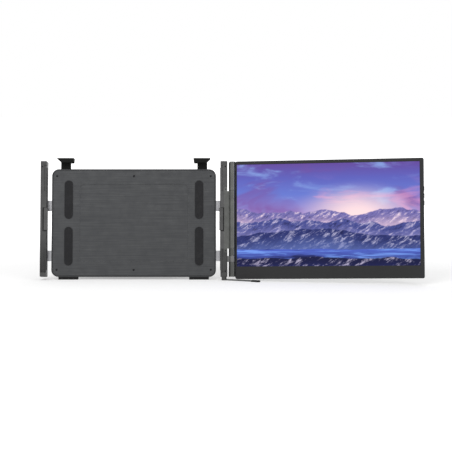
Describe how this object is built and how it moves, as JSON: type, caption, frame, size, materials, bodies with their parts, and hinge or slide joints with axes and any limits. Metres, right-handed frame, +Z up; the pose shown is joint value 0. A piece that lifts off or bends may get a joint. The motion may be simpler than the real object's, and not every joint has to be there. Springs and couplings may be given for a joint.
{
  "type": "laptop screen extender",
  "caption": "Bracket that clamps round a laptop's lid and carries a portable display on a side hinge, with sliding arms, hooks, a kickstand and a support lever.",
  "frame": {"origin": "on the table, under the middle of the whole device's box, as it stands in use", "axes": "+X to the user's right, along the bracket towards the display; +Y away from the user; +Z up from the table"},
  "size_m": [0.6492, 0.1202, 0.21],
  "materials": {
    "housing": "fine moulded texture",
    "plate": "anodised dark grey, fine bead blast",
    "silicone": "matt silicone",
    "nylon": "natural nylon",
    "screw": "black oxide",
    "rubber": "matt",
    "steel": "ground",
    "arm_metal": "anodised grey, satin",
    "arm_metal_dark": "anodised grey, satin",
    "arm_cap": "satin grey to match the columns",
    "hinge_metal": "anodised grey, satin",
    "hook_plastic": "matt black",
    "kickstand_metal": "anodised dark grey, satin",
    "foot_metal": "anodised grey, satin",
    "frame_metal": "anodised dark grey",
    "bezel": "satin dark grey",
    "screen": "anti-glare, lit",
    "light_guide": "clear to white",
    "tray_metal": "plain",
    "cover": "fine matt, dark grey",
    "board": "green solder mask",
    "port_metal": "plated",
    "speaker": "matt black",
    "flex": "amber polyimide",
    "button": "satin dark grey"
  },
  "bodies": {
    "bracket": {"rear_housing": "housing", "front_plate": "plate", "lid_pads": "silicone", "rail_guides": "nylon", "housing_screws": "screw", "housing_feet": "rubber", "kickstand_pins": "steel"},
    "left_arm": {"left_column": "arm_metal", "left_top_cap": "arm_cap", "left_bottom_cap": "arm_cap", "left_lip": "arm_metal_dark", "left_liner": "silicone", "left_rails": "steel", "left_arm_screws": "screw"},
    "right_arm": {"right_column": "arm_metal", "right_top_cap": "arm_cap", "right_bottom_cap": "arm_cap", "right_lip": "arm_metal_dark", "right_liner": "silicone", "right_rails": "steel", "right_arm_screws": "screw", "hinge_barrel": "hinge_metal", "friction_washers": "steel", "hinge_lug": "hinge_metal", "leaf_screws": "screw", "foot_pin": "steel"},
    "left_hook_slider": {"left_hook": "hook_plastic", "left_hook_pad": "silicone"},
    "right_hook_slider": {"right_hook": "hook_plastic", "right_hook_pad": "silicone"},
    "kickstand": {"kickstand_plate": "kickstand_metal", "kickstand_foot": "rubber"},
    "support_lever": {"support_foot": "foot_metal", "foot_boot": "rubber", "foot_pad": "rubber"},
    "display": {"display_frame": "frame_metal", "display_bezel": "bezel", "lcd_glass": "screen", "backlight": "light_guide", "panel_tray": "tray_metal", "rear_cover": "cover", "display_screws": "screw", "lower_hinge_leaf": "hinge_metal", "upper_hinge_leaf": "hinge_metal", "lower_hinge_shaft": "steel", "upper_hinge_shaft": "steel", "driver_board": "board", "usb_ports": "port_metal", "hdmi_port": "port_metal", "speakers": "speaker", "panel_flex": "flex", "button_board": "board"},
    "power_key": {"power_button": "button"},
    "menu_key_lower": {"menu_button_lower": "button"},
    "menu_key_upper": {"menu_button_upper": "button"}
  },
  "joints": [
    {"name": "left_arm_slide", "type": "slide", "parent": "bracket", "child": "left_arm", "axis": [-1, 0, 0], "range_m": [-0.0055, 0.0345]},
    {"name": "right_arm_slide", "type": "slide", "parent": "bracket", "child": "right_arm", "axis": [1, 0, 0], "range_m": [-0.0055, 0.0345]},
    {"name": "left_hook_slide", "type": "slide", "parent": "bracket", "child": "left_hook_slider", "axis": [0, 0.1564, 0.9877], "range_m": [-0.01, 0.018]},
    {"name": "right_hook_slide", "type": "slide", "parent": "bracket", "child": "right_hook_slider", "axis": [0, 0.1564, 0.9877], "range_m": [-0.01, 0.018]},
    {"name": "kickstand_hinge", "type": "hinge", "parent": "bracket", "child": "kickstand", "pos_m": [-0.16518, 0.04049, 0.16251], "axis": [1, 0, 0], "range_deg": [-15, 35]},
    {"name": "display_hinge", "type": "hinge", "parent": "right_arm", "child": "display", "pos_m": [0.00367, 0.01165, 0.10127], "axis": [0, 0.1564, 0.9877], "range_deg": [-169.7, 10.3]},
    {"name": "support_lever_pivot", "type": "hinge", "parent": "right_arm", "child": "support_lever", "pos_m": [-0.01033, 0.00101, 0.001], "axis": [0, 0, 1], "range_deg": [-157.8, 0]},
    {"name": "power_press", "type": "slide", "parent": "display", "child": "power_key", "axis": [-0.9839, 0.1766, -0.028], "range_m": [0, 0.0005], "stiffness_N_per_m": 2000, "springref_m": -0.0004},
    {"name": "menu_lower_press", "type": "slide", "parent": "display", "child": "menu_key_lower", "axis": [-0.9839, 0.1766, -0.028], "range_m": [0, 0.0005], "stiffness_N_per_m": 2000, "springref_m": -0.0004},
    {"name": "menu_upper_press", "type": "slide", "parent": "display", "child": "menu_key_upper", "axis": [-0.9839, 0.1766, -0.028], "range_m": [0, 0.0005], "stiffness_N_per_m": 2000, "springref_m": -0.0004}
  ]
}
